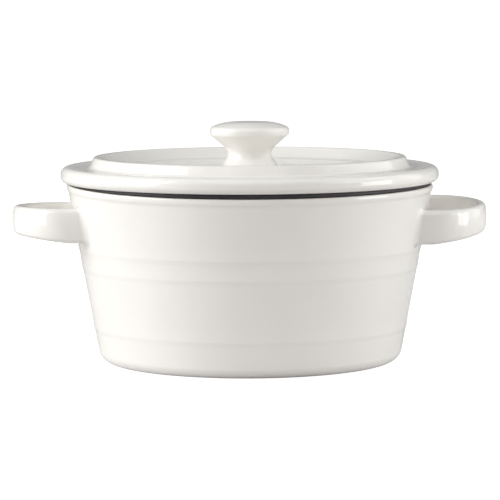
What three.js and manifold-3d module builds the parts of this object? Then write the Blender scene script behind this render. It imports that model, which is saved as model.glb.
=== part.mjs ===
// A round stoneware soup bowl with two strap handles, a lid with a mushroom knob, and a soft seal
// ring between lid and rim. Millimetres, +Z up. The origin is on the table under the bowl's axis,
// and the handles lie along X.

import * as THREE from 'three';
import { mergeVertices } from 'three/addons/utils/BufferGeometryUtils.js';
import Module from 'manifold-3d';

const wasm = await Module();
wasm.setup();

// Bowl
const BOWL_HEIGHT = 62.8;        // table to the flat land of the rim
const BASE_RADIUS = 53.6;        // where the line of the wall would meet the table
const RIM_RADIUS = 65.25;        // where the line of the wall would meet the rim
const WALL = 4.8;
const FLOOR = 5.0;               // above the recess of the foot
const BASE_CORNER = 4.6;         // rounding between wall and foot
const INNER_CORNER = 13.0;       // rounding between wall and floor, inside
const FOOT_WIDTH = 4.6;          // the ring that the bowl stands on
const FOOT_RECESS = 1.6;
const FOOT_DRAFT = 1.4;          // slope of the recess's side
const LIP_HEIGHT = 2.8;          // raised band round the rim
const LIP_PROUD = 0.15;          // past the wall line at the rim
const LIP_RISE = 1.5;            // height over which it stands out
const LIP_ROUNDING = 0.9;
const RIM_INNER_ROUNDING = 0.9;
const RIDGE_LEVELS = [13.1, 34.7, 41.6];
const RIDGE_PROUD = 0.36;
const RIDGE_RISE = 3.4;          // the wall swells towards a ridge from above
const RIDGE_FALL = 1.4;          // and steps back in below it
const RIDGE_ROUNDING = 1.2;

// Seal ring
const SEAL_THICKNESS = 1.4;
const SEAL_SETBACK = 0.5;        // its outer edge behind the wall line at the rim
const SEAL_ROUNDING = 0.5;
const SLEEVE_DEPTH = 3.2;        // the sleeve that grips the lid's spigot, below the rim
const SLEEVE_ROUNDING = 0.4;

// Lid
const LID_OVERHANG = 2.25;       // past the wall line at the rim
const LID_EDGE = 5.6;            // height of its round edge
const EDGE_LOWER_ROUNDING = 2.3;
const EDGE_UPPER_ROUNDING = 2.6;
const EDGE_CROWN = 4.0;          // from the rim of the lid to where its edge turns down to the ledge
const RING_INSET = 10.2;         // from the rim of the lid to the foot of the raised ring
const LEDGE_DROP = 0.6;          // the ledge lies below the edge
const LEDGE_ROUNDING = 1.4;
const RING_HEIGHT = 4.0;         // above the ledge
const RING_WIDTH = 1.9;
const RING_DRAFT = 1.6;
const RING_ROUNDING = 0.9;
const DISH_PLATE = 5.2;          // thickness of the plate under the dish
const DISH_SLOPE = 5.8;          // width of the slope between ring and dish
const DISH_ROUNDING = 3.2;
const SPIGOT_DEPTH = 6.0;
const SPIGOT_WALL = 4.2;
const SPIGOT_CLEARANCE = 1.6;    // to the mouth of the bowl
const SPIGOT_ROUNDING = 1.3;

// Knob
const KNOB_RADIUS = 14.4;
const KNOB_HEIGHT = 16.0;        // above the dish
const KNOB_CROWN = 2.2;          // rise of the domed top
const CROWN_FLAT = 10.3;         // where the top begins to fall
const CROWN_ROUNDING = 16.5;
const CAP_SIDE = 2.35;           // height of the cap's rounded side
const CAP_DRAFT = 0.25;
const CAP_UPPER_ROUNDING = 1.5;
const CAP_LOWER_ROUNDING = 1.3;
const NECK_RADIUS = 7.8;
const NECK_LEVEL = 5.35;         // below the cap's side
const NECK_ROUNDING = 4.0;
const KNOB_FOOT_RADIUS = 10.4;
const KNOB_FOOT_LIP = 0.6;
const NECK_FLARE = 3.0;          // height over which the neck widens to the foot

// Handles
const HANDLE_REACH = 21.5;       // tip past the wall, without the crown of its face
const HANDLE_WIDTH = 46.4;       // across both roots
const HANDLE_DROP = 6.7;         // the strap's upper edge below the rim
const STRAP_THICKNESS = 4.2;     // at its upper and lower edge
const STRAP_CROWN = 0.4;         // both broad faces bulge between these edges
const STRAP_TIP_HEIGHT = 10.5;
const STRAP_ROOT_HEIGHT = 11.9;
const STRAP_ROUNDING = 1.7;
const ROOT_FLARE = 1.8;          // the luted joint swells all round, in a hollow curve
const ROOT_FLARE_LENGTH = 5.5;
const ROOT_SPARE = 3.0;          // strap past the wall line, cut away where it meets the wall
const HANDLE_TWIST = THREE.MathUtils.degToRad(2.3);   // set by hand, a little askew

// Gaps between pieces
const LUTE_GAP = 0.3;            // slip layer under a luted handle
const SEAL_GAP = 0.3;            // seal to spigot, and seal to mouth

// Fineness of the facets
const TURN_SEGMENTS = 60;
const KNOB_SEGMENTS = 36;
const ARC_STEP = THREE.MathUtils.degToRad(32);
const ARC_SAG = 0.12;            // most that a chord may cut inside a large arc
const HANDLE_STEPS = 24;
const ROOT_STEPS = 4;            // on each straight stretch between wall and loop
const STRAP_CORNER_STEPS = 3;

const glaze = new THREE.MeshStandardMaterial({ color: '#f3f0ea', roughness: 0.16, metalness: 0 });
const silicone = new THREE.MeshStandardMaterial({ color: '#2b292c', roughness: 0.55, metalness: 0 });

// Levels and radii that several pieces share
const LID_SEAT = BOWL_HEIGHT + SEAL_THICKNESS;
const DISH_LEVEL = LID_SEAT + DISH_PLATE;
const LID_RADIUS = RIM_RADIUS + LID_OVERHANG;
const FLOOR_LEVEL = FOOT_RECESS + FLOOR;
const WALL_SLOPE = (RIM_RADIUS - BASE_RADIUS) / BOWL_HEIGHT;

const wallRadius = (z) => BASE_RADIUS + WALL_SLOPE * z;
const innerRadius = (z) => wallRadius(z) - WALL;

const HANDLE_TOP = BOWL_HEIGHT - HANDLE_DROP;
const HANDLE_MIDDLE = HANDLE_TOP - STRAP_ROOT_HEIGHT / 2;
const SPIGOT_RADIUS = innerRadius(LID_SEAT - SPIGOT_DEPTH) - SPIGOT_CLEARANCE;

// Turns [radius, height, rounding] corners into a smooth outline, with an arc at each rounded corner.
// Where two arcs meet on a short side, both shrink to fit it.
function roundedOutline(corners) {
  const points = corners.map(([r, z]) => new THREE.Vector2(r, z));
  const bends = corners.map(([, , rounding = 0], i) => {
    if (rounding === 0) {
      return { turn: 0, reach: 0 };
    }
    const back = points[i - 1].clone().sub(points[i]);
    const ahead = points[i + 1].clone().sub(points[i]);
    const turn = Math.PI - back.angleTo(ahead);
    return { turn, reach: rounding * Math.tan(turn / 2) };
  });
  const share = (i, j) => Math.min(1, points[i].distanceTo(points[j]) / (bends[i].reach + bends[j].reach));
  return points.flatMap((corner, i) => {
    const { turn, reach } = bends[i];
    if (reach === 0) {
      return [corner];
    }
    const tangent = reach * Math.min(share(i, i - 1), share(i, i + 1));
    const radius = tangent / Math.tan(turn / 2);
    const back = points[i - 1].clone().sub(corner).normalize();
    const ahead = points[i + 1].clone().sub(corner).normalize();
    const centre = back.clone().add(ahead).setLength(Math.hypot(radius, tangent)).add(corner);
    const start = corner.clone().addScaledVector(back, tangent);
    const end = corner.clone().addScaledVector(ahead, tangent);
    const side = Math.sign(start.clone().sub(centre).cross(end.clone().sub(centre)));
    const step = Math.min(ARC_STEP, 2 * Math.acos(Math.max(0, 1 - ARC_SAG / radius)));
    const steps = Math.ceil(turn / step);
    const angle = side * turn / steps;
    return Array.from({ length: steps + 1 }, (_, k) => start.clone().rotateAround(centre, angle * k));
  });
}

// Revolves an outline about Z. The outline goes up on the outside.
function turned(corners, segments) {
  return new THREE.LatheGeometry(roundedOutline(corners), segments).rotateX(Math.PI / 2);
}

function mesh(name, geometry, material) {
  const piece = new THREE.Mesh(geometry, material);
  piece.name = name;
  return piece;
}

// The outside of the bowl from the foot to the rim's land, moved out by a margin
function bowlOutside(margin) {
  const ridges = RIDGE_LEVELS.flatMap((level) => [
    [wallRadius(level - RIDGE_FALL), level - RIDGE_FALL],
    [wallRadius(level) + RIDGE_PROUD, level, RIDGE_ROUNDING],
    [wallRadius(level + RIDGE_RISE), level + RIDGE_RISE],
  ]);
  const lipFoot = BOWL_HEIGHT - LIP_HEIGHT;
  const lipRadius = RIM_RADIUS + LIP_PROUD;
  const corners = [
    [wallRadius(0), 0, BASE_CORNER],
    ...ridges,
    [wallRadius(lipFoot), lipFoot],
    [lipRadius, lipFoot + LIP_RISE, LIP_ROUNDING],
    [lipRadius, BOWL_HEIGHT, LIP_ROUNDING],
  ];
  return corners.map(([r, z, rounding]) => [r + margin, z, rounding]);
}

function makeBowl() {
  const footOuter = wallRadius(0) - BASE_CORNER;
  const footInner = footOuter - FOOT_WIDTH;
  return mesh('bowl', turned([
    [0, FOOT_RECESS],
    [footInner - FOOT_DRAFT, FOOT_RECESS, FOOT_DRAFT],
    [footInner, 0],
    ...bowlOutside(0),
    [innerRadius(BOWL_HEIGHT), BOWL_HEIGHT, RIM_INNER_ROUNDING],
    [innerRadius(FLOOR_LEVEL), FLOOR_LEVEL, INNER_CORNER],
    [0, FLOOR_LEVEL],
  ], TURN_SEGMENTS), glaze);
}

function makeSeal() {
  const bore = SPIGOT_RADIUS + SEAL_GAP;
  const sleeveFoot = BOWL_HEIGHT - SLEEVE_DEPTH;
  const sleeveRadius = innerRadius(sleeveFoot) - SEAL_GAP;
  const outer = RIM_RADIUS - SEAL_SETBACK;
  return mesh('seal_ring', turned([
    [bore, sleeveFoot],
    [sleeveRadius, sleeveFoot, SLEEVE_ROUNDING],
    [sleeveRadius, BOWL_HEIGHT],
    [outer, BOWL_HEIGHT, SEAL_ROUNDING],
    [outer, LID_SEAT, SEAL_ROUNDING],
    [bore, LID_SEAT],
    [bore, sleeveFoot],
  ], TURN_SEGMENTS), silicone);
}

function makeLid() {
  const spigotFoot = LID_SEAT - SPIGOT_DEPTH;
  const spigotInner = SPIGOT_RADIUS - SPIGOT_WALL;
  const edgeTop = LID_SEAT + LID_EDGE;
  const ledge = edgeTop - LEDGE_DROP;
  const ringFoot = LID_RADIUS - RING_INSET;
  const ringOuter = ringFoot - RING_DRAFT;
  const ringInner = ringOuter - RING_WIDTH;
  const ringTop = ledge + RING_HEIGHT;
  return mesh('lid', turned([
    [0, LID_SEAT],
    [spigotInner, LID_SEAT, SPIGOT_ROUNDING],
    [spigotInner, spigotFoot, SPIGOT_ROUNDING],
    [SPIGOT_RADIUS, spigotFoot, SPIGOT_ROUNDING],
    [SPIGOT_RADIUS, LID_SEAT],
    [LID_RADIUS, LID_SEAT, EDGE_LOWER_ROUNDING],
    [LID_RADIUS, edgeTop, EDGE_UPPER_ROUNDING],
    [LID_RADIUS - EDGE_CROWN, edgeTop, LEDGE_ROUNDING],
    [ringFoot, ledge, LEDGE_ROUNDING],
    [ringOuter, ringTop, RING_ROUNDING],
    [ringInner, ringTop, RING_ROUNDING],
    [ringInner - DISH_SLOPE, DISH_LEVEL, DISH_ROUNDING],
    [0, DISH_LEVEL],
  ], TURN_SEGMENTS), glaze);
}

function makeKnob() {
  const top = DISH_LEVEL + KNOB_HEIGHT;
  const capTop = top - KNOB_CROWN;
  const capFoot = capTop - CAP_SIDE;
  return mesh('lid_knob', turned([
    [0, DISH_LEVEL],
    [KNOB_FOOT_RADIUS, DISH_LEVEL],
    [KNOB_FOOT_RADIUS, DISH_LEVEL + KNOB_FOOT_LIP],
    [NECK_RADIUS, DISH_LEVEL + KNOB_FOOT_LIP + NECK_FLARE, NECK_ROUNDING],
    [NECK_RADIUS, capFoot - NECK_LEVEL, NECK_ROUNDING],
    [KNOB_RADIUS - CAP_DRAFT, capFoot, CAP_LOWER_ROUNDING],
    [KNOB_RADIUS, capTop, CAP_UPPER_ROUNDING],
    [CROWN_FLAT, top, CROWN_ROUNDING],
    [0, top],
  ], KNOB_SEGMENTS), glaze);
}

// One ring of points round the strap: a rounded rectangle with crowned sides, its upper edge at z = 0
function strapSection(thickness, height) {
  const halfThickness = thickness / 2 - STRAP_ROUNDING;
  const corners = [
    [halfThickness, -STRAP_ROUNDING],
    [-halfThickness, -STRAP_ROUNDING],
    [-halfThickness, STRAP_ROUNDING - height],
    [halfThickness, STRAP_ROUNDING - height],
  ];
  const quarter = Math.PI / 2;
  const arc = ([x, z], corner) => Array.from({ length: STRAP_CORNER_STEPS + 1 }, (_, step) => {
    const angle = quarter * (corner + step / STRAP_CORNER_STEPS);
    return [x + STRAP_ROUNDING * Math.cos(angle), z + STRAP_ROUNDING * Math.sin(angle)];
  });
  const [outerTop, innerTop, innerFoot, outerFoot] = corners.map(arc);
  const crown = thickness / 2 + STRAP_CROWN;
  return [
    ...outerTop, ...innerTop, [-crown, -height / 2],
    ...innerFoot, ...outerFoot, [crown, -height / 2],
  ];
}

// Skins a row of rings, each with the same number of points, and closes both ends.
function loft(rings) {
  const count = rings[0].length;
  const positions = rings.flat().flatMap((point) => point.toArray());
  const triangles = [];
  for (let ring = 0; ring < rings.length - 1; ring += 1) {
    for (let i = 0; i < count; i += 1) {
      const a = ring * count + i;
      const b = ring * count + (i + 1) % count;
      triangles.push(a, a + count, b, b, a + count, b + count);
    }
  }
  const last = (rings.length - 1) * count;
  for (let i = 1; i < count - 1; i += 1) {
    triangles.push(0, i, i + 1, last, last + i + 1, last + i);
  }
  const geometry = new THREE.BufferGeometry();
  geometry.setAttribute('position', new THREE.Float32BufferAttribute(positions, 3));
  geometry.setIndex(triangles);
  return geometry;
}

// The strap's middle line comes straight out of the wall, goes round half an ellipse and back. It starts
// and ends inside the wall, so that the wall can cut both roots to shape.
function handleRings() {
  const wall = wallRadius(HANDLE_MIDDLE);
  const across = (HANDLE_WIDTH - STRAP_THICKNESS) / 2;
  const out = HANDLE_REACH - STRAP_THICKNESS / 2;
  const tip = wall + out;
  const root = Math.sqrt(wall ** 2 - across ** 2);
  const loop = Array.from({ length: HANDLE_STEPS + 1 }, (_, step) => {
    const angle = Math.PI * (step / HANDLE_STEPS - 0.5);
    const outward = new THREE.Vector2(across * Math.cos(angle), out * Math.sin(angle)).normalize();
    return { x: wall + out * Math.cos(angle), y: across * Math.sin(angle), outward };
  });
  const straight = Array.from({ length: ROOT_STEPS }, (_, step) => (
    THREE.MathUtils.lerp(root - ROOT_SPARE, wall, step / ROOT_STEPS)
  ));
  const start = straight.map((x) => ({ ...loop[0], x }));
  const end = straight.map((x) => ({ ...loop[HANDLE_STEPS], x })).reverse();
  return [...start, ...loop, ...end].map(({ x, y, outward }) => {
    const nearRoot = THREE.MathUtils.clamp(1 - (x - root) / ROOT_FLARE_LENGTH, 0, 1);
    const flare = ROOT_FLARE * nearRoot ** 2;
    const nearTip = THREE.MathUtils.clamp((x - root) / (tip - root), 0, 1);
    const height = THREE.MathUtils.lerp(STRAP_ROOT_HEIGHT, STRAP_TIP_HEIGHT, nearTip);
    const section = strapSection(STRAP_THICKNESS + 2 * flare, height + 2 * flare);
    return section.map(([side, z]) => new THREE.Vector3(
      x + outward.x * side,
      y + outward.y * side,
      HANDLE_TOP + flare + z,
    ));
  });
}

function solid(geometry) {
  const bare = geometry.clone();
  bare.deleteAttribute('normal');
  bare.deleteAttribute('uv');
  const merged = mergeVertices(bare);
  return new wasm.Manifold(new wasm.Mesh({
    numProp: 3,
    vertProperties: new Float32Array(merged.attributes.position.array),
    triVerts: new Uint32Array(merged.index.array),
  }));
}

function fromSolid(body) {
  const { vertProperties, triVerts } = body.getMesh();
  const geometry = new THREE.BufferGeometry();
  geometry.setAttribute('position', new THREE.Float32BufferAttribute(vertProperties, 3));
  geometry.setIndex(Array.from(triVerts));
  geometry.computeVertexNormals();
  return geometry;
}

// The strap is twisted a little about its outward line, turned to its side of the bowl and cut to the wall.
function makeHandle(name, side) {
  const strap = loft(handleRings())
    .translate(0, 0, -HANDLE_MIDDLE)
    .rotateX(HANDLE_TWIST)
    .translate(0, 0, HANDLE_MIDDLE)
    .rotateZ(side);
  const wall = turned([[0, 0], ...bowlOutside(LUTE_GAP), [0, BOWL_HEIGHT]], TURN_SEGMENTS);
  return mesh(name, fromSolid(solid(strap).subtract(solid(wall))), glaze);
}

const soupBowl = new THREE.Group();
soupBowl.add(
  makeBowl(),
  makeHandle('right_handle', 0),
  makeHandle('left_handle', Math.PI),
  makeSeal(),
  makeLid(),
  makeKnob(),
);

export default soupBowl;
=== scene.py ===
"""A stoneware soup bowl with two strap handles, a lid with a mushroom knob and a soft seal ring.

The script is laid out as an add-on: settings, one operator for each piece, one for the stage, and a
panel that lists them. Everything is in metres, +Z up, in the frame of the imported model.
"""

import math

import bmesh
import bpy
from bpy.props import FloatProperty, FloatVectorProperty, PointerProperty
from bpy.types import Operator, Panel, PropertyGroup
from mathutils import Euler, Matrix, Vector


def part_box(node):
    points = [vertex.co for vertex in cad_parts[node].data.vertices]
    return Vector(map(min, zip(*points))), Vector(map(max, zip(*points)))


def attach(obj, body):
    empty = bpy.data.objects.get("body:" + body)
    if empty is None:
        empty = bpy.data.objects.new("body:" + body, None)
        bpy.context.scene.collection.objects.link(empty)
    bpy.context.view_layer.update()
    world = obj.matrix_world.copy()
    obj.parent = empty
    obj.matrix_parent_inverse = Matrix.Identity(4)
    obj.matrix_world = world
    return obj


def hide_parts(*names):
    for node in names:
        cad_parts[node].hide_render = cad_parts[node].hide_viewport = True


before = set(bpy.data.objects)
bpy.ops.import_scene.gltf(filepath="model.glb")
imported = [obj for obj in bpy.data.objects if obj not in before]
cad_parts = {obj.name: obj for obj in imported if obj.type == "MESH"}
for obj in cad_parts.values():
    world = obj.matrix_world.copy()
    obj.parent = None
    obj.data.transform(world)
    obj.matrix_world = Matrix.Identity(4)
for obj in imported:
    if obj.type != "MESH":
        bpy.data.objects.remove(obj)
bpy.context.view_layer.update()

bl_info = {
    "name": "Lidded Soup Bowl",
    "version": (1, 0, 0),
    "blender": (4, 5, 0),
    "location": "View3D > Sidebar > Soup Bowl",
    "description": "Models a lidded stoneware soup bowl with strap handles, and the stage it stands on",
    "category": "Add Mesh",
}

MM = 0.001

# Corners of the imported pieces, which the defaults below start from
BOWL_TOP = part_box("bowl")[1]
SEAL_FOOT, SEAL_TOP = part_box("seal_ring")
LID_FOOT, LID_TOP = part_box("lid")
KNOB_FOOT, KNOB_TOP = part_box("lid_knob")
HANDLE_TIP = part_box("right_handle")[1]

# Fineness of the meshes
SAME_PLACE = 0.001 * MM  # points nearer than this count as one
SMOOTH_ANGLE = math.radians(50)
ARC_STEP = math.radians(7)
LEAST_ARC_STEPS = 3
TURN_STEPS = 192
KNOB_STEPS = 96
STRAP_STEPS = 56
STRAP_CORNER_STEPS = 8
STRAP_FACE_STEPS = 6
LUTE_STEPS = 8
SWEEP_STEPS = 16


def length(name, description, default):
    """A size in metres."""
    return FloatProperty(name=name, description=description, default=default, unit="LENGTH", precision=5)


def angle(name, description, degrees):
    """An angle, given in degrees."""
    return FloatProperty(name=name, description=description, default=math.radians(degrees), unit="ROTATION")


def share(name, description, default):
    """A part of a whole, from 0 to 1."""
    return FloatProperty(name=name, description=description, default=default, min=0, max=1, subtype="FACTOR")


def linear(code):
    """Linear red, green and blue of an sRGB hex value."""
    shares = [int(code[start:start + 2], 16) / 255 for start in (1, 3, 5)]
    return tuple(s / 12.92 if s <= 0.04045 else ((s + 0.055) / 1.055) ** 2.4 for s in shares)


def colour(name, description, code):
    """A colour, given as an sRGB hex value and kept as linear light."""
    return FloatVectorProperty(
        name=name, description=description, default=linear(code), subtype="COLOR", size=3, min=0, max=1
    )


class BowlSizes(PropertyGroup):
    """Sizes of the bowl."""

    height: length("Height", "From the table to the flat land of the rim", BOWL_TOP.z)
    lip_radius: length("Lip Radius", "Outside of the raised band round the rim", BOWL_TOP.x)
    lip_proud: length("Lip Proud", "The band past the wall line at the rim", 0.15 * MM)
    lip_height: length("Lip Height", "Height of the band", 2.8 * MM)
    lip_rise: length("Lip Rise", "Height over which the band stands out", 1.1 * MM)
    lip_blend: length("Lip Blend", "Rounding where the band runs out in the wall", 2.4 * MM)
    lip_rounding: length("Lip Rounding", "Rounding of the band's upper edge", 0.6 * MM)
    warp: length("Warp", "The rim rises so much at the handles, and falls so much between them", 0.3 * MM)
    left_warp: length("Left Warp", "How much more the rim rises at the left handle", 0.65 * MM)
    warp_from: length("Warp From", "Level above which the wall follows the warped rim", 44.0 * MM)
    base_radius: length("Base Radius", "Where the line of the wall would meet the table", 53.6 * MM)
    wall: length("Wall", "Thickness of the wall", 4.8 * MM)
    floor: length("Floor", "Thickness of the floor above the foot's recess", 5.0 * MM)
    base_corner: length("Base Corner", "Rounding between wall and foot", 4.6 * MM)
    inner_corner: length("Inner Corner", "Rounding between wall and floor inside", 13.0 * MM)
    mouth_rounding: length("Mouth Rounding", "Rounding of the rim's inner edge", 0.9 * MM)
    foot_width: length("Foot Width", "The ring that the bowl stands on", 4.6 * MM)
    foot_recess: length("Foot Recess", "Depth of the recess inside the foot", 1.6 * MM)
    foot_draft: length("Foot Draft", "Slope of the recess's side", 1.4 * MM)
    foot_rounding: length("Foot Rounding", "Rounding of the foot's inner edge", 0.6 * MM)
    recess_rounding: length("Recess Rounding", "Rounding at the bottom of the recess", 1.2 * MM)
    wiped: length("Wiped", "Level up to which the foot is wiped bare of glaze", 0.1 * MM)
    ridge_low: length("Low Ridge", "Level of the lowest ridge", 12.8 * MM)
    ridge_middle: length("Middle Ridge", "Level of the middle ridge", 34.2 * MM)
    ridge_high: length("High Ridge", "Level of the highest ridge", 41.1 * MM)
    ridge_proud: length("Ridge Proud", "How far a ridge stands out from the wall line", 0.17 * MM)
    ridge_rise: length("Ridge Rise", "Height over which the wall swells above a ridge", 3.4 * MM)
    ridge_fall: length("Ridge Fall", "Height over which it steps back in below", 1.6 * MM)
    ridge_rounding: length("Ridge Rounding", "Rounding of a ridge's edge", 3.0 * MM)
    ridge_hollow: length("Ridge Hollow", "Rounding of the hollow below a ridge", 5.0 * MM)
    ridge_swell: length("Ridge Swell", "Rounding where the wall begins to swell", 30.0 * MM)

    def wall_radius(self, level):
        """Radius of the outside wall line at a level."""
        rim = self.lip_radius - self.lip_proud
        return self.base_radius + (rim - self.base_radius) * level / self.height

    def inner_radius(self, level):
        """Radius of the inside wall at a level."""
        return self.wall_radius(level) - self.wall


class HandleSizes(PropertyGroup):
    """Sizes of the strap handles."""

    tip: length("Tip", "Distance of the handle's tip from the axis", HANDLE_TIP.x)
    width: length("Width", "Across both roots", 48.4 * MM)
    top: length("Top", "Level of the strap's upper edge", 56.1 * MM)
    thickness: length("Thickness", "Thickness of the strap at its edges", 3.7 * MM)
    crown: length("Crown", "How far each face of the strap swells", 0.6 * MM)
    crown_arc: share("Crown Arc", "Share of a face that its swell is rounded over", 0.6)
    tip_height: length("Tip Height", "Height of the strap at the tip", 9.9 * MM)
    tip_lift: length("Tip Lift", "How far the strap rises to its tip", 0.3 * MM)
    root_height: length("Root Height", "Height of the strap at the roots", 12.1 * MM)
    rounding: length("Rounding", "Rounding of the strap's edges", 1.6 * MM)
    straight: length("Straight", "Straight run between wall and loop", 1.1 * MM)
    lute: length("Lute", "Fillet of clay and glaze along the wall where a root meets it", 2.0 * MM)
    lute_height: length("Lute Height", "How far that fillet spreads up and down", 1.3 * MM)
    right_twist: angle("Right Twist", "How far the right handle is set askew", 2.6)
    left_twist: angle("Left Twist", "How far the left handle is set askew", 1.4)
    left_drop: length("Left Drop", "How much lower the left handle is set", 0.3 * MM)


class LidSizes(PropertyGroup):
    """Sizes of the lid."""

    radius: length("Radius", "Outside of the lid", LID_TOP.x)
    seat: length("Seat", "Level of its underside, on the seal", SEAL_TOP.z)
    edge: length("Edge", "Height of its round edge", 5.6 * MM)
    edge_lower: length("Lower Edge Rounding", "Lower rounding of the edge", 2.3 * MM)
    edge_upper: length("Upper Edge Rounding", "Upper rounding of the edge", 2.6 * MM)
    crown: length("Crown", "From the outside to where the edge turns down to the ledge", 4.0 * MM)
    ring_inset: length("Ring Inset", "From the outside to the foot of the raised ring", 10.2 * MM)
    ledge_drop: length("Ledge Drop", "The ledge below the edge", 0.6 * MM)
    ledge_rounding: length("Ledge Rounding", "Rounding at both sides of the ledge", 1.4 * MM)
    ring_top: length("Ring Top", "Level of the raised ring", LID_TOP.z)
    ring_width: length("Ring Width", "Width of the ring's top", 1.9 * MM)
    ring_draft: length("Ring Draft", "Slope of the ring's outside", 1.6 * MM)
    ring_rounding: length("Ring Rounding", "Rounding of the ring's edges", 0.9 * MM)
    dish: length("Dish", "Level of the dish", KNOB_FOOT.z)
    dish_slope: length("Dish Slope", "Width of the slope between ring and dish", 5.8 * MM)
    dish_rounding: length("Dish Rounding", "Rounding at the foot of the slope", 3.2 * MM)
    spigot_foot: length("Spigot Foot", "Level of the spigot's lower edge", LID_FOOT.z)
    spigot_wall: length("Spigot Wall", "Thickness of the spigot", 4.2 * MM)
    spigot_clearance: length("Spigot Clearance", "From the spigot to the mouth", 1.6 * MM)
    spigot_rounding: length("Spigot Rounding", "Rounding of the spigot's edges", 1.3 * MM)

    def spigot_radius(self, bowl):
        """Radius of the spigot's outside, which fits the bowl's mouth at its lower edge."""
        return bowl.inner_radius(self.spigot_foot) - self.spigot_clearance


class KnobSizes(PropertyGroup):
    """Sizes of the knob."""

    radius: length("Radius", "Outside of the cap", KNOB_TOP.x)
    top: length("Top", "Level of the knob's top", KNOB_TOP.z)
    crown: length("Crown", "Rise of the domed top", 2.2 * MM)
    crown_flat: length("Crown Flat", "Where the top begins to fall", 10.3 * MM)
    crown_rounding: length("Crown Rounding", "Rounding of the dome", 16.5 * MM)
    side: length("Side", "Height of the cap's rounded side", 2.35 * MM)
    draft: length("Draft", "The side leans in towards its foot", 0.25 * MM)
    upper_rounding: length("Upper Rounding", "Upper rounding of the side", 1.5 * MM)
    lower_rounding: length("Lower Rounding", "Lower rounding of the side", 1.3 * MM)
    neck_radius: length("Neck Radius", "Radius of the neck", 7.8 * MM)
    neck_level: length("Neck Level", "Top of the neck below the cap's side", 5.35 * MM)
    neck_rounding: length("Neck Rounding", "Rounding at both ends of the neck", 4.0 * MM)
    foot_radius: length("Foot Radius", "Where the neck runs out on the dish", 10.4 * MM)
    foot_lip: length("Foot Lip", "Thickness of the foot's edge", 0.2 * MM)
    flare: length("Flare", "Height over which the neck widens to the foot", 3.4 * MM)
    flare_rounding: length("Flare Rounding", "Rounding of that widening", 3.2 * MM)


class SealSizes(PropertyGroup):
    """Sizes of the seal ring."""

    radius: length("Radius", "Outside of the seal", SEAL_TOP.x)
    foot: length("Foot", "Level of the sleeve's lower edge", SEAL_FOOT.z)
    gap: length("Gap", "From the sleeve to the spigot and to the mouth", 0.3 * MM)
    rounding: length("Rounding", "Rounding of the outer edge", 0.5 * MM)
    sleeve_rounding: length("Sleeve Rounding", "Rounding of the sleeve's edge", 0.4 * MM)


class Finishes(PropertyGroup):
    """Colours of the finishes."""

    glaze: colour("Glaze", "Warm white glaze where it lies thick", "#f1efea")
    thin_glaze: colour("Thin Glaze", "Glaze on edges, where the clay shows through", "#ebe5dc")
    # This colour is partly glaze that gathers in hollows and partly painted shade there
    pooled_glaze_and_shade: colour("Pooled Glaze", "Glaze that has run together in hollows", "#efece5")
    clay: colour("Clay", "Bare stoneware of the foot", "#d5c8b3")
    clay_grain: colour("Clay Grain", "Darker grains in the bare stoneware", "#a8967c")
    silicone: colour("Silicone", "Charcoal silicone of the seal", "#2b292c")
    silicone_bloom: colour("Silicone Bloom", "Paler bloom on the silicone", "#3b393c")
    paper: colour("Paper", "Studio paper, as it throws light back on the bowl", "#d0cece")
    shaded_paper: colour("Shaded Paper", "The paper's tone that shows its shadow, under its glow", "#aaaaaa")


class StudioSizes(PropertyGroup):
    """Paper and camera of the stage."""

    paper: length("Paper", "Each side of the paper, before it rises", 4.0)
    paper_rise: length("Paper Rise", "How far the paper rises behind the bowl", 2.0)
    paper_curve: length("Paper Curve", "From the paper's bend to either end of its curve", 0.8)
    distance: length("Distance", "From the camera to the bowl's axis, level", 993 * MM)
    height: length("Height", "Camera above the table", 135.3 * MM)
    lens: FloatProperty(name="Lens", description="Focal length in millimetres", default=200.2, unit="CAMERA")
    swing: angle("Swing", "Camera to the left of the front", 1.3)
    dip: angle("Dip", "Camera looks down", 5.52)
    roll: angle("Roll", "Camera turned about its line of sight", -0.25)


class SoupBowlSettings(PropertyGroup):
    """All settings of the soup bowl and its stage."""

    bowl: PointerProperty(type=BowlSizes)
    handle: PointerProperty(type=HandleSizes)
    lid: PointerProperty(type=LidSizes)
    knob: PointerProperty(type=KnobSizes)
    seal: PointerProperty(type=SealSizes)
    finishes: PointerProperty(type=Finishes)
    studio: PointerProperty(type=StudioSizes)


# Modelling

def new_point(name):
    """Starts a piece as one point at the origin, selected in edit mode."""
    bpy.ops.object.select_all(action="DESELECT")
    bpy.ops.mesh.primitive_plane_add(size=MM)
    piece = bpy.context.object
    piece.name = name
    piece.data.name = name
    bpy.ops.object.mode_set(mode="EDIT")
    bpy.ops.mesh.select_all(action="SELECT")
    bpy.ops.mesh.merge(type="CENTER")
    return piece


def pick(piece, wanted):
    """Selects, in edit mode, the points whose place passes a test, and what lies between them."""
    bpy.ops.mesh.select_all(action="DESELECT")
    shape = bmesh.from_edit_mesh(piece.data)
    for point in shape.verts:
        point.select = wanted(point.co)
    shape.select_flush(True)
    bmesh.update_edit_mesh(piece.data)


def round_corner(piece, corner, before, after, rounding):
    """Rounds one corner of a profile with an arc."""
    turn = math.pi - (before - corner).angle(after - corner)
    pick(piece, lambda place: (place - corner).length < SAME_PLACE)
    bpy.ops.mesh.bevel(
        affect="VERTICES",
        offset_type="OFFSET",
        offset=rounding * math.tan(turn / 2),
        segments=max(LEAST_ARC_STEPS, math.ceil(turn / ARC_STEP)),
    )


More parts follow.
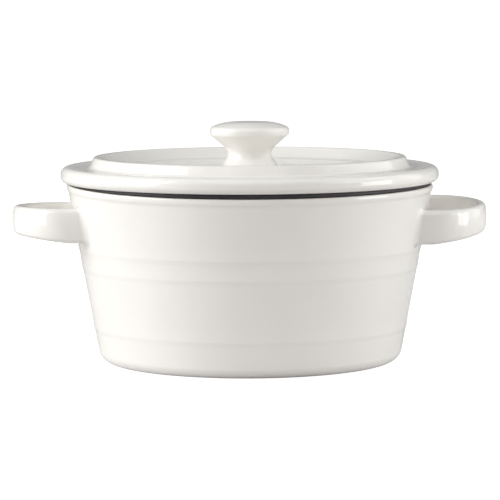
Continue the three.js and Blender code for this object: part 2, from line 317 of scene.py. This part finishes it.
def turned(name, corners, steps):
    """Draws a profile of (radius, level, rounding) corners, rounds it and spins it about Z."""
    piece = new_point(name)
    places = [Vector((radius, 0, level)) for radius, level, _ in corners]
    bpy.ops.transform.translate(value=places[0])
    for start, end in zip(places, places[1:]):
        bpy.ops.mesh.extrude_vertices_move(TRANSFORM_OT_translate={"value": end - start})
    for before, corner, after, (_, _, rounding) in zip(places, places[1:], places[2:], corners[1:]):
        if rounding:
            round_corner(piece, corner, before, after, rounding)
    bpy.ops.mesh.select_all(action="SELECT")
    bpy.ops.mesh.spin(steps=steps, angle=math.tau, center=(0, 0, 0), axis=(0, 0, 1))
    bpy.ops.mesh.select_all(action="SELECT")
    bpy.ops.mesh.remove_doubles(threshold=SAME_PLACE)
    bpy.ops.mesh.normals_make_consistent(inside=False)
    bpy.ops.object.mode_set(mode="OBJECT")
    return piece


def apply_modifier(piece, kind, **settings):
    """Adds a modifier with its settings to the active piece and applies it."""
    bpy.ops.object.modifier_add(type=kind)
    modifier = piece.modifiers[-1]
    for key, value in settings.items():
        setattr(modifier, key, value)
    bpy.ops.object.modifier_apply(modifier=modifier.name)


def bend(piece, centre, size, counts, kind, lift):
    """Puts a lattice round a piece, lifts its points by a rule, and applies and removes it.

    The rule gets each point's place in the lattice, where every side runs from -0.5 to 0.5.
    """
    bpy.ops.object.add(type="LATTICE", location=centre)
    cage = bpy.context.object
    cage.scale = size
    for axis, count in zip("uvw", counts):
        setattr(cage.data, "points_" + axis, count)
        setattr(cage.data, "interpolation_type_" + axis, kind)
    for point in cage.data.points:
        point.co_deform.z += lift(point.co) / size[2]
    bpy.context.view_layer.objects.active = piece
    apply_modifier(piece, "LATTICE", object=cage)
    bpy.data.objects.remove(cage)
    bpy.ops.object.select_all(action="DESELECT")
    piece.select_set(True)


def warp(piece, bowl, still, moved):
    """Lifts a round edge at the handles and lowers it between them, as firing does. One level stays still."""
    top_moves = moved > still

    def lift(place):
        """At the moved level, up at the handles, down between them, and nothing at the lattice's corners."""
        if (place.z > 0) != top_moves:
            return 0
        left = max(0, -2 * place.x) * (1 - 2 * abs(place.y))
        return 2 * bowl.warp * (abs(place.x) - abs(place.y)) + bowl.left_warp * left

    size = (2 * bowl.lip_radius, 2 * bowl.lip_radius, abs(moved - still))
    bend(piece, (0, 0, (still + moved) / 2), size, (3, 3, 2), "KEY_CATMULL_ROM", lift)


def smooth(piece):
    """Shades a piece smooth, with its broad faces left flat."""
    bpy.ops.object.shade_smooth_by_angle(angle=SMOOTH_ANGLE)
    apply_modifier(piece, "WEIGHTED_NORMAL", keep_sharp=True)


def dress(piece, material, body, slot, *nodes):
    """Gives a finished piece its material and body, and hides the imported nodes that it stands for. The slot
    is not used.
    """
    piece.data.materials.append(material)
    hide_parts(*nodes)
    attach(piece, body)


def bare(piece, material, wanted):
    """Gives bare clay to the faces whose points all pass a test."""
    piece.data.materials.append(material)
    bpy.ops.object.mode_set(mode="EDIT")
    pick(piece, wanted)
    piece.active_material_index = len(piece.data.materials) - 1
    bpy.ops.object.material_slot_assign()
    bpy.ops.object.mode_set(mode="OBJECT")


# Materials

MIXED_COLOUR = 2  # index of a Mix node's colour output
NOISE_LOW = 0.3   # most of a noise's values lie between these two
NOISE_HIGH = 0.7


def add(tree, kind, sockets=None, **settings):
    """Adds a node with its settings. A socket gets a value, or a link where an output is given."""
    made = tree.nodes.new(kind)
    for key, value in settings.items():
        setattr(made, key, value)
    inputs = {socket.identifier: socket for socket in made.inputs}
    for socket, value in (sockets or {}).items():
        if isinstance(value, bpy.types.NodeSocket):
            tree.links.new(value, inputs[socket])
        else:
            inputs[socket].default_value = value
    return made


def new_material(name):
    """A material and its node tree, which is still empty."""
    material = bpy.data.materials.new(name)
    material.use_nodes = True
    tree = material.node_tree
    tree.nodes.clear()
    return material, tree


def finish_material(tree, shader):
    """Links a shader to the output of its material or world."""
    kind = "ShaderNodeOutputWorld" if shader.type == "BACKGROUND" else "ShaderNodeOutputMaterial"
    add(tree, kind, {"Surface": shader.outputs[0]})


def opaque(rgb):
    """A colour with full alpha, as a node's colour socket takes it."""
    return (*rgb, 1.0)


def glaze_tone(tree, cloud, finishes):
    """Colour of the glaze: darker and warmer in hollows, where glaze pools and as painted shade, thin on
    edges and faintly cloudy all over.
    """
    hollow_reach = 4 * MM
    deep_hollow = 0.3   # share of its surroundings that stays open where glaze pools fully
    edge_reach = 1.2 * MM
    blunt_edge = 0.9    # the same share inside the clay, where glaze begins to thin
    sharp_edge = 0.3    # and where it is thinnest
    darkest = 0.975     # share of the colour left in the dark of a cloud
    hollow = add(tree, "ShaderNodeAmbientOcclusion", {"Distance": hollow_reach}, only_local=True, samples=4)
    edge = add(
        tree, "ShaderNodeAmbientOcclusion", {"Distance": edge_reach}, only_local=True, inside=True, samples=4
    )
    # Painted shade: hollows found by occlusion take the darker, warmer colour of gathered glaze, beside the
    # glaze that really gathers there
    pooling_and_shade = add(
        tree,
        "ShaderNodeMapRange",
        {"Value": hollow.outputs["AO"], "From Min": 1.0, "From Max": deep_hollow},
    )
    thinning = add(
        tree,
        "ShaderNodeMapRange",
        {"Value": edge.outputs["AO"], "From Min": blunt_edge, "From Max": sharp_edge},
    )
    uneven = add(
        tree,
        "ShaderNodeMapRange",
        {"Value": cloud, "From Min": NOISE_LOW, "From Max": NOISE_HIGH, "To Min": darkest},
    )
    pooled_and_shaded = add(
        tree,
        "ShaderNodeMix",
        {
            "Factor_Float": pooling_and_shade.outputs["Result"],
            "A_Color": opaque(finishes.glaze),
            "B_Color": opaque(finishes.pooled_glaze_and_shade),
        },
        data_type="RGBA",
    )
    thinned = add(
        tree,
        "ShaderNodeMix",
        {
            "Factor_Float": thinning.outputs["Result"],
            "A_Color": pooled_and_shaded.outputs[MIXED_COLOUR],
            "B_Color": opaque(finishes.thin_glaze),
        },
        data_type="RGBA",
    )
    tone = add(
        tree,
        "ShaderNodeVectorMath",
        {"Vector": thinned.outputs[MIXED_COLOUR], "Scale": uneven.outputs["Result"]},
        operation="SCALE",
    )
    return tone.outputs["Vector"]


def glaze_relief(tree, place):
    """Slow ripples of the glaze, with a finer orange peel over them."""
    ripple_size = 10 * MM
    ripple_depth = 0.003 * MM
    peel_size = 1.4 * MM
    peel_depth = 0.0005 * MM
    ripple = add(tree, "ShaderNodeTexNoise", {"Vector": place, "Scale": 1 / ripple_size, "Detail": 1.0})
    peel = add(tree, "ShaderNodeTexNoise", {"Vector": place, "Scale": 1 / peel_size, "Detail": 0.0})
    rippled = add(tree, "ShaderNodeBump", {"Height": ripple.outputs["Fac"], "Distance": ripple_depth})
    peeled = add(
        tree,
        "ShaderNodeBump",
        {"Height": peel.outputs["Fac"], "Distance": peel_depth, "Normal": rippled.outputs["Normal"]},
    )
    return peeled.outputs["Normal"]


def glazed_stoneware(finishes):
    """Stoneware dipped in a warm white glaze: glassy, faintly rippled, thin on edges, darker in hollows where
    glaze pools and as painted shade.
    """
    cloud_size = 24 * MM
    glassiest = 0.03    # roughness in the dark of a cloud
    dullest = 0.06      # and in its light
    material, tree = new_material("glazed_stoneware")
    place = add(tree, "ShaderNodeTexCoord").outputs["Object"]
    noise = add(tree, "ShaderNodeTexNoise", {"Vector": place, "Scale": 1 / cloud_size, "Detail": 3.0})
    cloud = noise.outputs["Fac"]
    gloss = add(
        tree,
        "ShaderNodeMapRange",
        {
            "Value": cloud,
            "From Min": NOISE_LOW,
            "From Max": NOISE_HIGH,
            "To Min": glassiest,
            "To Max": dullest,
        },
    )
    shader = add(
        tree,
        "ShaderNodeBsdfPrincipled",
        {
            "Base Color": glaze_tone(tree, cloud, finishes),
            "Roughness": gloss.outputs["Result"],
            "IOR": 1.52,
            "Normal": glaze_relief(tree, place),
        },
    )
    finish_material(tree, shader)
    return material


def bare_stoneware(finishes):
    """Fired clay without glaze, where a foot was wiped clean: matt, dry and grainy."""
    grain_size = 0.5 * MM
    grain_depth = 0.03 * MM
    grain_from = 0.5     # noise value at which a dark grain begins
    grain_strength = 0.7
    material, tree = new_material("bare_stoneware")
    place = add(tree, "ShaderNodeTexCoord").outputs["Object"]
    grain = add(tree, "ShaderNodeTexNoise", {"Vector": place, "Scale": 1 / grain_size, "Detail": 4.0})
    spots = add(
        tree,
        "ShaderNodeMapRange",
        {
            "Value": grain.outputs["Fac"],
            "From Min": grain_from,
            "From Max": NOISE_HIGH,
            "To Max": grain_strength,
        },
    )
    tone = add(
        tree,
        "ShaderNodeMix",
        {
            "Factor_Float": spots.outputs["Result"],
            "A_Color": opaque(finishes.clay),
            "B_Color": opaque(finishes.clay_grain),
        },
        data_type="RGBA",
    )
    rough = add(tree, "ShaderNodeBump", {"Height": grain.outputs["Fac"], "Distance": grain_depth})
    shader = add(
        tree,
        "ShaderNodeBsdfPrincipled",
        {
            "Base Color": tone.outputs[MIXED_COLOUR],
            "Roughness": 0.85,
            "IOR": 1.5,
            "Normal": rough.outputs["Normal"],
        },
    )
    finish_material(tree, shader)
    return material


def moulded_silicone(finishes):
    """Charcoal silicone rubber from a satin mould: soft gloss with a faint paler bloom."""
    bloom_size = 6 * MM
    bloom_from = 0.4      # noise value at which the bloom begins
    bloom_full = 0.75
    bloom_strength = 0.8
    mould_grain = 0.3 * MM  # a real mould's grain is finer, and is drawn this coarse so that it shows
    mould_depth = 0.004 * MM
    glossiest = 0.42      # roughness where there is no bloom
    dullest = 0.6
    material, tree = new_material("moulded_silicone")
    place = add(tree, "ShaderNodeTexCoord").outputs["Object"]
    cloud = add(tree, "ShaderNodeTexNoise", {"Vector": place, "Scale": 1 / bloom_size, "Detail": 4.0})
    grain = add(tree, "ShaderNodeTexNoise", {"Vector": place, "Scale": 1 / mould_grain, "Detail": 1.0})
    bloom = add(
        tree,
        "ShaderNodeMapRange",
        {
            "Value": cloud.outputs["Fac"],
            "From Min": bloom_from,
            "From Max": bloom_full,
            "To Max": bloom_strength,
        },
    )
    tone = add(
        tree,
        "ShaderNodeMix",
        {
            "Factor_Float": bloom.outputs["Result"],
            "A_Color": opaque(finishes.silicone),
            "B_Color": opaque(finishes.silicone_bloom),
        },
        data_type="RGBA",
    )
    satin = add(tree, "ShaderNodeBump", {"Height": grain.outputs["Fac"], "Distance": mould_depth})
    gloss = add(
        tree,
        "ShaderNodeMapRange",
        {
            "Value": cloud.outputs["Fac"],
            "From Min": NOISE_LOW,
            "From Max": NOISE_HIGH,
            "To Min": glossiest,
            "To Max": dullest,
        },
    )
    shader = add(
        tree,
        "ShaderNodeBsdfPrincipled",
        {
            "Base Color": tone.outputs[MIXED_COLOUR],
            "Roughness": gloss.outputs["Result"],
            "IOR": 1.41,
            "Normal": satin.outputs["Normal"],
        },
    )
    finish_material(tree, shader)
    return material


def seen_directly(tree):
    """1 for what the camera sees, less for what it sees mirrored, and 0 for what only lights."""
    mirrored_share = 0.2
    path = add(tree, "ShaderNodeLightPath")
    mirrored = add(
        tree,
        "ShaderNodeMath",
        {"Value": path.outputs["Is Glossy Ray"], "Value_001": mirrored_share},
        operation="MULTIPLY",
    )
    straight = add(
        tree,
        "ShaderNodeMath",
        {"Value": path.outputs["Is Camera Ray"], "Value_001": path.outputs["Is Transmission Ray"]},
        operation="MAXIMUM",
    )
    either = add(
        tree,
        "ShaderNodeMath",
        {"Value": straight.outputs[0], "Value_001": mirrored.outputs[0]},
        operation="MAXIMUM",
    )
    return either.outputs[0]


def white_sweep(finishes):
    """Matt white studio paper, which glows up to white where it is seen and keeps the bowl's shadow."""
    shadow_reach = 220 * MM
    white_from = 600 * MM
    glow = 0.9            # strength near the bowl, which leaves room for the shadow
    material, tree = new_material("white_sweep")
    place = add(tree, "ShaderNodeTexCoord").outputs["Object"]
    away = add(tree, "ShaderNodeVectorMath", {"Vector": place}, operation="LENGTH")
    strength = add(
        tree,
        "ShaderNodeMapRange",
        {"Value": away.outputs["Value"], "From Min": shadow_reach, "From Max": white_from, "To Min": glow},
    )
    paper = add(tree, "ShaderNodeBsdfDiffuse", {"Color": opaque(finishes.paper)})
    shaded = add(tree, "ShaderNodeBsdfDiffuse", {"Color": opaque(finishes.shaded_paper)})
    lit = add(tree, "ShaderNodeEmission", {"Strength": strength.outputs["Result"]})
    bright = add(tree, "ShaderNodeAddShader", {"Shader": shaded.outputs[0], "Shader_001": lit.outputs[0]})
    shader = add(
        tree,
        "ShaderNodeMixShader",
        {"Fac": seen_directly(tree), "Shader": paper.outputs[0], "Shader_001": bright.outputs[0]},
    )
    finish_material(tree, shader)
    return material


# Operators

class SOUPBOWL_OT_bowl(Operator):
    """Models the bowl: foot, tapered wall with its ridges, rim and inside"""

    bl_idname = "soupbowl.bowl"
    bl_label = "Bowl"

    def execute(self, context):
        settings = context.scene.soup_bowl
        sizes = settings.bowl
        ridges = []
        for level in (sizes.ridge_low, sizes.ridge_middle, sizes.ridge_high):
            below = level - sizes.ridge_fall
            above = level + sizes.ridge_rise
            ridges += [
                (sizes.wall_radius(below), below, sizes.ridge_hollow),
                (sizes.wall_radius(level) + sizes.ridge_proud, level, sizes.ridge_rounding),
                (sizes.wall_radius(above), above, sizes.ridge_swell),
            ]
        foot_outer = sizes.base_radius - sizes.base_corner
        foot_inner = foot_outer - sizes.foot_width
        floor_level = sizes.foot_recess + sizes.floor
        lip_foot = sizes.height - sizes.lip_height
        piece = turned(
            "bowl_body",
            [
                (0, sizes.foot_recess, 0),
                (foot_inner - sizes.foot_draft, sizes.foot_recess, sizes.recess_rounding),
                (foot_inner, 0, sizes.foot_rounding),
                (sizes.base_radius, 0, sizes.base_corner),
                *ridges,
                (sizes.wall_radius(lip_foot), lip_foot, sizes.lip_blend),
                (sizes.lip_radius, lip_foot + sizes.lip_rise, sizes.lip_blend),
                (sizes.lip_radius, sizes.height, sizes.lip_rounding),
                (sizes.inner_radius(sizes.height), sizes.height, sizes.mouth_rounding),
                (sizes.inner_radius(floor_level), floor_level, sizes.inner_corner),
                (0, floor_level, 0),
            ],
            TURN_STEPS,
        )
        warp(piece, sizes, sizes.warp_from, sizes.height)
        smooth(piece)
        dress(piece, glazed_stoneware(settings.finishes), "bowl", "glaze", "bowl")
        bare(piece, bare_stoneware(settings.finishes), lambda place: place.z < sizes.wiped)
        return {"FINISHED"}


class SOUPBOWL_OT_handles(Operator):
    """Models the two strap handles, each set a little askew by hand, and lutes them to the wall"""

    bl_idname = "soupbowl.handles"
    bl_label = "Handles"

    def execute(self, context):
        settings = context.scene.soup_bowl
        sizes = settings.handle
        bowl = bpy.data.objects["bowl_body"]
        for side, turn, twist, drop in (
            ("right", 0, sizes.right_twist, 0),
            ("left", math.pi, sizes.left_twist, sizes.left_drop),
        ):
            piece = self.strap(sizes, settings.bowl, sizes.top - drop, twist)
            piece.name = side + "_strap"
            piece.data.name = side + "_strap"
            self.lute(piece, sizes, bowl)
            bpy.ops.transform.rotate(value=turn, orient_axis="Z", center_override=(0, 0, 0))
            bpy.ops.object.transform_apply()
            smooth(piece)
            dress(piece, bpy.data.materials["glazed_stoneware"], "bowl", "glaze", side + "_handle")
        return {"FINISHED"}

    def strap(self, sizes, bowl, top, twist):
        """Sweeps the strap's section round half an ellipse, tapers it and sets it askew."""
        middle = top - sizes.root_height / 2
        wall = bowl.wall_radius(middle) + sizes.straight
        across = (sizes.width - sizes.thickness) / 2
        stretch = (sizes.tip - wall) / (sizes.width / 2 + sizes.crown)
        piece = self.section(sizes, Vector((wall, -across, middle)))
        bpy.ops.mesh.select_all(action="SELECT")
        # With no window, spin and rotate turn the other way, so both angles are negative here
        bpy.ops.mesh.spin(steps=STRAP_STEPS, angle=-math.pi, center=(wall, 0, middle), axis=(0, 0, 1))
        bpy.ops.mesh.select_all(action="SELECT")
        bpy.ops.transform.resize(value=(stretch, 1, 1), center_override=(wall, 0, middle))
        bpy.ops.mesh.normals_make_consistent(inside=False)
        bpy.ops.object.mode_set(mode="OBJECT")
        narrowing = sizes.root_height - sizes.tip_height

        def lift(place):
            """Raises the tip, and its lower edge more."""
            if place.x < 0:
                return 0
            return sizes.tip_lift + (narrowing if place.z < 0 else 0)

        cage = (sizes.tip - wall, sizes.width, sizes.root_height)
        bend(piece, ((wall + sizes.tip) / 2, 0, middle), cage, (2, 2, 2), "KEY_LINEAR", lift)
        bpy.ops.transform.rotate(value=-twist, orient_axis="X", center_override=(0, 0, middle))
        bpy.ops.object.transform_apply()
        return piece

    def section(self, sizes, centre):
        """Draws the strap's section at its front root: soft corners and slightly swelling faces."""
        bpy.ops.object.select_all(action="DESELECT")
        bpy.ops.mesh.primitive_plane_add(size=1, location=centre, rotation=(0, math.pi / 2, 0))
        piece = bpy.context.object
        piece.scale = (sizes.root_height, sizes.thickness, 1)
        bpy.ops.object.transform_apply()
        bpy.ops.object.mode_set(mode="EDIT")
        for side in (-1, 1):
            pick(piece, lambda place: (place.y - centre.y) * side > 0)
            bpy.ops.mesh.subdivide(number_cuts=1)
        half_height = sizes.root_height / 2
        # The bevel that rounds the swell takes part of its peak away again
        peak = sizes.crown / (1 - sizes.crown_arc / 2)
        swell = 1 + 2 * peak / sizes.thickness
        pick(piece, lambda place: abs(place.z - centre.z) < SAME_PLACE)
        bpy.ops.transform.resize(value=(1, swell, 1), center_override=centre)
        arc = sizes.crown_arc * half_height
        bpy.ops.mesh.bevel(affect="VERTICES", offset=arc, segments=STRAP_FACE_STEPS)
        pick(piece, lambda place: abs(place.z - centre.z) > half_height - SAME_PLACE)
        bpy.ops.mesh.bevel(affect="VERTICES", offset=sizes.rounding, segments=STRAP_CORNER_STEPS)
        bpy.ops.mesh.select_all(action="SELECT")
        bpy.ops.mesh.delete(type="ONLY_FACE")
        return piece

    def lute(self, piece, sizes, bowl):
        """Grows a hollow fillet from both open ends of the strap out onto the wall."""
        half_thickness = sizes.thickness / 2 + sizes.crown
        half_height = sizes.root_height / 2
        inwards = (-0.3 * MM, 0, 0)  # keeps the rings apart until each is wrapped onto the wall
        bpy.ops.object.mode_set(mode="EDIT")
        offsets = []
        spread = 0
        for step in range(LUTE_STEPS + 1):
            turn = math.pi / 2 * step / LUTE_STEPS
            before = spread
            spread = 1 - math.cos(turn)
            offsets.append(sizes.lute * (1 - math.sin(turn)))
            bpy.ops.mesh.select_all(action="DESELECT")
            bpy.ops.mesh.select_non_manifold()
            bpy.ops.mesh.extrude_edges_move(TRANSFORM_OT_translate={"value": inwards})
            bpy.ops.object.vertex_group_remove_from(use_all_groups=True)
            bpy.ops.object.vertex_group_assign_new()
            piece.vertex_groups[-1].name = f"ring_{step}"
            wider = (half_thickness + sizes.lute * spread) / (half_thickness + sizes.lute * before)
            taller = (half_height + sizes.lute_height * spread) / (half_height + sizes.lute_height * before)
            for side in (-1, 1):
                bpy.ops.mesh.select_all(action="DESELECT")
                bpy.ops.mesh.select_non_manifold()
                centre = self.keep_side(piece, side)
                bpy.ops.transform.resize(value=(1, wider, taller), center_override=centre)
        bpy.ops.object.mode_set(mode="OBJECT")
        for step, offset in enumerate(offsets):
            apply_modifier(
                piece,
                "SHRINKWRAP",
                target=bowl,
                wrap_method="PROJECT",
                use_project_x=True,
                use_negative_direction=True,
                use_positive_direction=True,
                offset=offset,
                vertex_group=f"ring_{step}",
            )
        piece.vertex_groups.clear()

    def keep_side(self, piece, side):
        """Keeps only the selected points on one side of the handle's middle, and tells their centre."""
        shape = bmesh.from_edit_mesh(piece.data)
        for point in shape.verts:
            if point.co.y * side < 0:
                point.select = False
        shape.select_flush(False)
        kept = [point.co for point in shape.verts if point.select]
        centre = sum(kept, Vector()) / len(kept)
        bmesh.update_edit_mesh(piece.data)
        return centre


class SOUPBOWL_OT_lid(Operator):
    """Models the lid: spigot, round edge, ledge, raised ring and dish"""

    bl_idname = "soupbowl.lid"
    bl_label = "Lid"

    def execute(self, context):
        settings = context.scene.soup_bowl
        sizes = settings.lid
        spigot_radius = sizes.spigot_radius(settings.bowl)
        spigot_inner = spigot_radius - sizes.spigot_wall
        edge_top = sizes.seat + sizes.edge
        ring_foot = sizes.radius - sizes.ring_inset
        ring_outer = ring_foot - sizes.ring_draft
        ring_inner = ring_outer - sizes.ring_width
        piece = turned(
            "lid_plate",
            [
                (0, sizes.seat, 0),
                (spigot_inner, sizes.seat, sizes.spigot_rounding),
                (spigot_inner, sizes.spigot_foot, sizes.spigot_rounding),
                (spigot_radius, sizes.spigot_foot, sizes.spigot_rounding),
                (spigot_radius, sizes.seat, 0),
                (sizes.radius, sizes.seat, sizes.edge_lower),
                (sizes.radius, edge_top, sizes.edge_upper),
                (sizes.radius - sizes.crown, edge_top, sizes.ledge_rounding),
                (ring_foot, edge_top - sizes.ledge_drop, sizes.ledge_rounding),
                (ring_outer, sizes.ring_top, sizes.ring_rounding),
                (ring_inner, sizes.ring_top, sizes.ring_rounding),
                (ring_inner - sizes.dish_slope, sizes.dish, sizes.dish_rounding),
                (0, sizes.dish, 0),
            ],
            TURN_STEPS,
        )
        smooth(piece)
        dress(piece, bpy.data.materials["glazed_stoneware"], "lid", "glaze", "lid")
        return {"FINISHED"}


class SOUPBOWL_OT_knob(Operator):
    """Models the mushroom knob and the fillet that it stands in"""

    bl_idname = "soupbowl.knob"
    bl_label = "Knob"

    def execute(self, context):
        settings = context.scene.soup_bowl
        sizes = settings.knob
        dish = settings.lid.dish
        cap_top = sizes.top - sizes.crown
        cap_foot = cap_top - sizes.side
        piece = turned(
            "knob",
            [
                (0, dish, 0),
                (sizes.foot_radius, dish, 0),
                (sizes.foot_radius, dish + sizes.foot_lip, 0),
                (sizes.neck_radius, dish + sizes.foot_lip + sizes.flare, sizes.flare_rounding),
                (sizes.neck_radius, cap_foot - sizes.neck_level, sizes.neck_rounding),
                (sizes.radius - sizes.draft, cap_foot, sizes.lower_rounding),
                (sizes.radius, cap_top, sizes.upper_rounding),
                (sizes.crown_flat, sizes.top, sizes.crown_rounding),
                (0, sizes.top, 0),
            ],
            KNOB_STEPS,
        )
        smooth(piece)
        dress(piece, bpy.data.materials["glazed_stoneware"], "lid", "glaze", "lid_knob")
        return {"FINISHED"}


class SOUPBOWL_OT_seal(Operator):
    """Models the seal ring: a flange under the lid and a sleeve round its spigot"""

    bl_idname = "soupbowl.seal"
    bl_label = "Seal"

    def execute(self, context):
        settings = context.scene.soup_bowl
        sizes = settings.seal
        rim = settings.bowl.height
        seat = settings.lid.seat
        bore = settings.lid.spigot_radius(settings.bowl) + sizes.gap
        sleeve = settings.bowl.inner_radius(sizes.foot) - sizes.gap
        piece = turned(
            "seal",
            [
                (bore, sizes.foot, 0),
                (sleeve, sizes.foot, sizes.sleeve_rounding),
                (sleeve, rim, 0),
                (sizes.radius, rim, sizes.rounding),
                (sizes.radius, seat, sizes.rounding),
                (bore, seat, 0),
                (bore, sizes.foot, 0),
            ],
            TURN_STEPS,
        )
        warp(piece, settings.bowl, seat, rim)
        smooth(piece)
        dress(piece, moulded_silicone(settings.finishes), "seal", "silicone", "seal_ring")
        return {"FINISHED"}


# Stage

AIM = Vector((0, 0, 40 * MM))  # where the lamps point
LAMPS = (
    # name, degrees round from the front towards +X, degrees up, distance, width and height in metres, watts
    ("left_panel", -80, 20, 1.0, 0.90, 0.90, 11.2),
    ("left_fill", -58, 20, 1.0, 0.60, 0.90, 1.0),
    ("left_overhead", -80, 50, 1.0, 0.60, 0.60, 0.6),
    ("front_overhead", 0, 62, 1.0, 0.80, 0.80, 2.1),
    ("right_overhead", 80, 50, 1.0, 0.60, 0.60, 1.6),
    ("right_panel", 100, 18, 1.0, 0.90, 0.90, 3.3),
    ("right_softbox", 75, 3, 0.4, 0.16, 0.12, 0.27),
    ("right_fill", 58, 18, 1.0, 0.45, 0.45, 1.6),
    ("front_fill", 0, 25, 1.0, 0.60, 0.60, 0.7),
)


class SOUPBOWL_OT_stage(Operator):
    """Sets up the white sweep, the lamps, the world and the camera"""

    bl_idname = "soupbowl.stage"
    bl_label = "Stage"

    def execute(self, context):
        scene = context.scene
        settings = scene.soup_bowl
        self.sweep(settings.studio, settings.finishes)
        self.lamps()
        self.world(scene)
        self.camera(scene, settings.studio)
        scene.view_settings.view_transform = "Standard"
        return {"FINISHED"}

    def sweep(self, studio, finishes):
        """White paper that lies flat and rises in a wide curve behind."""
        back = studio.paper / 2 - SAME_PLACE
        bpy.ops.object.select_all(action="DESELECT")
        bpy.ops.mesh.primitive_plane_add(size=studio.paper)
        paper = bpy.context.object
        paper.name = "sweep"
        bpy.ops.object.mode_set(mode="EDIT")
        pick(paper, lambda place: place.y > back)
        bpy.ops.mesh.extrude_edges_move(TRANSFORM_OT_translate={"value": (0, 0, studio.paper_rise)})
        pick(paper, lambda place: place.y > back and place.z < SAME_PLACE)
        bpy.ops.mesh.bevel(affect="EDGES", offset=studio.paper_curve, segments=SWEEP_STEPS)
        bpy.ops.object.mode_set(mode="OBJECT")
        bpy.ops.object.shade_smooth()
        paper.data.materials.append(white_sweep(finishes))

    def lamps(self):
        """Soft panels, each facing the bowl."""
        for name, round_about, up, distance, width, height, power in LAMPS:
            heading = Euler((math.radians(-up), 0, math.radians(round_about)))
            place = AIM + distance * (heading.to_matrix() @ Vector((0, -1, 0)))
            turn = (AIM - place).to_track_quat("-Z", "Y").to_euler()
            bpy.ops.object.light_add(type="AREA", location=place, rotation=turn)
            lamp = bpy.context.object
            lamp.name = name
            lamp.data.shape = "RECTANGLE"
            lamp.data.size = width
            lamp.data.size_y = height
            lamp.data.energy = power
            lamp.visible_camera = False

    def world(self, scene):
        """A dim white surround, which is seen as plain white."""
        surround = 0.03
        world = bpy.data.worlds.new("surround")
        world.use_nodes = True
        tree = world.node_tree
        tree.nodes.clear()
        strength = add(
            tree,
            "ShaderNodeMapRange",
            {"Value": seen_directly(tree), "To Min": surround},
        )
        shader = add(
            tree,
            "ShaderNodeBackground",
            {"Color": (1, 1, 1, 1), "Strength": strength.outputs["Result"]},
        )
        finish_material(tree, shader)
        scene.world = world

    def camera(self, scene, studio):
        """A long lens, a little above the rim."""
        place = Vector((
            -studio.distance * math.sin(studio.swing),
            -studio.distance * math.cos(studio.swing),
            studio.height,
        ))
        turn = (
            Matrix.Rotation(-studio.swing, 3, "Z")
            @ Matrix.Rotation(math.pi / 2 - studio.dip, 3, "X")
            @ Matrix.Rotation(studio.roll, 3, "Z")
        )
        bpy.ops.object.camera_add(location=place, rotation=turn.to_euler())
        camera = bpy.context.object
        camera.name = "camera"
        camera.data.lens = studio.lens
        scene.camera = camera


class SOUPBOWL_PT_panel(Panel):
    """Lists the pieces and the stage in the sidebar"""

    bl_idname = "SOUPBOWL_PT_panel"
    bl_label = "Soup Bowl"
    bl_space_type = "VIEW_3D"
    bl_region_type = "UI"
    bl_category = "Soup Bowl"

    def draw(self, context):
        settings = context.scene.soup_bowl
        for operator, group in (
            (SOUPBOWL_OT_bowl, settings.bowl),
            (SOUPBOWL_OT_handles, settings.handle),
            (SOUPBOWL_OT_lid, settings.lid),
            (SOUPBOWL_OT_knob, settings.knob),
            (SOUPBOWL_OT_seal, settings.seal),
            (SOUPBOWL_OT_stage, settings.studio),
        ):
            box = self.layout.box()
            box.operator(operator.bl_idname)
            for key in group.__annotations__:
                box.prop(group, key)
        box = self.layout.box()
        for key in settings.finishes.__annotations__:
            box.prop(settings.finishes, key)


CLASSES = (
    BowlSizes,
    HandleSizes,
    LidSizes,
    KnobSizes,
    SealSizes,
    Finishes,
    StudioSizes,
    SoupBowlSettings,
    SOUPBOWL_OT_bowl,
    SOUPBOWL_OT_handles,
    SOUPBOWL_OT_lid,
    SOUPBOWL_OT_knob,
    SOUPBOWL_OT_seal,
    SOUPBOWL_OT_stage,
    SOUPBOWL_PT_panel,
)


def register():
    """Registers the classes and hangs the settings on the scene."""
    for each in CLASSES:
        bpy.utils.register_class(each)
    bpy.types.Scene.soup_bowl = PointerProperty(type=SoupBowlSettings)


def unregister():
    """Takes the settings and the classes away again."""
    del bpy.types.Scene.soup_bowl
    for each in reversed(CLASSES):
        bpy.utils.unregister_class(each)


def main():
    """Builds the pieces and the stage."""
    register()
    bpy.ops.soupbowl.bowl()
    bpy.ops.soupbowl.handles()
    bpy.ops.soupbowl.lid()
    bpy.ops.soupbowl.knob()
    bpy.ops.soupbowl.seal()
    bpy.ops.soupbowl.stage()


if __name__ == "__main__":
    main()
